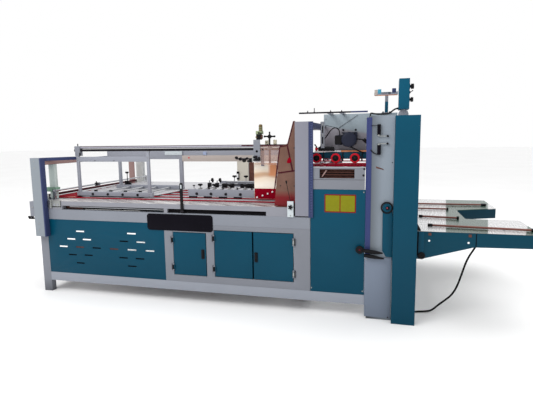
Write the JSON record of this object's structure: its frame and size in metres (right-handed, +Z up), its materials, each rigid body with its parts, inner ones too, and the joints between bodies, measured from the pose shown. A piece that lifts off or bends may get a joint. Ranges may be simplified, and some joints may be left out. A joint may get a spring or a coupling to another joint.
{
  "type": "folder gluer",
  "caption": "Folder gluer with a belt feed table on a cabinet body, hanging guide rails, a belt press with sprung wheels, tall end columns and a forked outfeed.",
  "frame": {"origin": "bottom centre of the whole machine, on the floor", "axes": "+X from infeed to outfeed, +Y from the operator side to the far side, +Z up"},
  "size_m": [4.572, 2.08, 1.94],
  "materials": {
    "grey_paint": "satin",
    "teal_paint": "semi-gloss",
    "navy_paint": "satin",
    "black_plastic": "satin",
    "polished_steel": "polished",
    "deck_steel": "brushed",
    "red_belt": "satin",
    "wheel_rubber": "satin",
    "round_belt": "gloss",
    "bronze_acrylic": "clear tinted",
    "cream_plastic": "gloss",
    "label_sheet": "gloss",
    "cable_rubber": "matte"
  },
  "bodies": {
    "frame": {"belt_beams": "deck_steel", "belt_rollers": "polished_steel", "black_fittings": "black_plastic", "cable_glands": "deck_steel", "chrome_rails": "polished_steel", "control_box": "teal_paint", "control_conduit": "cable_rubber", "cover_plates": "grey_paint", "cross_rods": "polished_steel", "crossbeams": "grey_paint", "door_frames": "grey_paint", "door_hinge_pins": "polished_steel", "edge_strips": "navy_paint", "end_guard": "bronze_acrylic", "feed_belts": "red_belt", "fixed_shafts": "polished_steel", "fork_deck": "polished_steel", "fork_rods": "round_belt", "fork_sides": "teal_paint", "frame_legs": "grey_paint", "frame_rails": "grey_paint", "front_guard": "bronze_acrylic", "gantry_beams": "navy_paint", "gantry_columns": "grey_paint", "glue_tray": "cream_plastic", "glue_valve": "black_plastic", "guard_bracket": "teal_paint", "guide_wheels": "black_plastic", "hanging_beams": "grey_paint", "hanging_posts": "grey_paint", "infeed_rod": "polished_steel", "label_plate": "label_sheet", "motor": "black_plastic", "motor_cable": "cable_rubber", "mounting_brackets": "grey_paint", "nameplate": "black_plastic", "outfeed_cable": "cable_rubber", "outfeed_columns": "teal_paint", "press_beams": "teal_paint", "press_belts": "red_belt", "press_columns": "grey_paint", "press_walls": "grey_paint", "side_panels": "teal_paint", "slotted_lever": "black_plastic", "slotted_panels": "teal_paint", "table_aprons": "polished_steel", "table_beams": "grey_paint", "table_deck": "deck_steel", "top_brackets": "grey_paint", "window_frames": "grey_paint"},
    "door_left": {"door_left": "teal_paint", "door_left_handle": "black_plastic"},
    "door_mid_left": {"door_mid_left": "teal_paint"},
    "door_mid_right": {"door_mid_right": "teal_paint", "door_mid_right_handle": "black_plastic"},
    "press_wheel_left": {"press_wheel_left": "wheel_rubber"},
    "press_wheel_middle": {"press_wheel_middle": "wheel_rubber"},
    "press_wheel_right": {"press_wheel_right": "wheel_rubber"},
    "hand_wheel": {"hand_wheel": "black_plastic"}
  },
  "joints": [
    {"name": "door_left_hinge", "type": "hinge", "parent": "frame", "child": "door_left", "pos_m": [-0.737, -0.979, 0.465], "axis": [0, 0, 1], "range_deg": [-110, 0]},
    {"name": "door_mid_left_hinge", "type": "hinge", "parent": "frame", "child": "door_mid_left", "pos_m": [-0.333, -0.979, 0.48], "axis": [0, 0, 1], "range_deg": [-110, 0]},
    {"name": "door_mid_right_hinge", "type": "hinge", "parent": "frame", "child": "door_mid_right", "pos_m": [0.396, -0.979, 0.48], "axis": [0, 0, 1], "range_deg": [0, 110]},
    {"name": "press_wheel_left_spin", "type": "hinge", "parent": "frame", "child": "press_wheel_left", "pos_m": [0.565, -0.785, 1.328], "axis": [0, 1, 0], "continuous": true},
    {"name": "press_wheel_middle_spin", "type": "hinge", "parent": "frame", "child": "press_wheel_middle", "pos_m": [0.728, -0.785, 1.328], "axis": [0, 1, 0], "continuous": true},
    {"name": "press_wheel_right_spin", "type": "hinge", "parent": "frame", "child": "press_wheel_right", "pos_m": [0.889, -0.785, 1.328], "axis": [0, 1, 0], "continuous": true},
    {"name": "hand_wheel_turn", "type": "hinge", "parent": "frame", "child": "hand_wheel", "pos_m": [0.127, -0.708, 1.52], "axis": [0, 0, 1], "continuous": true}
  ]
}
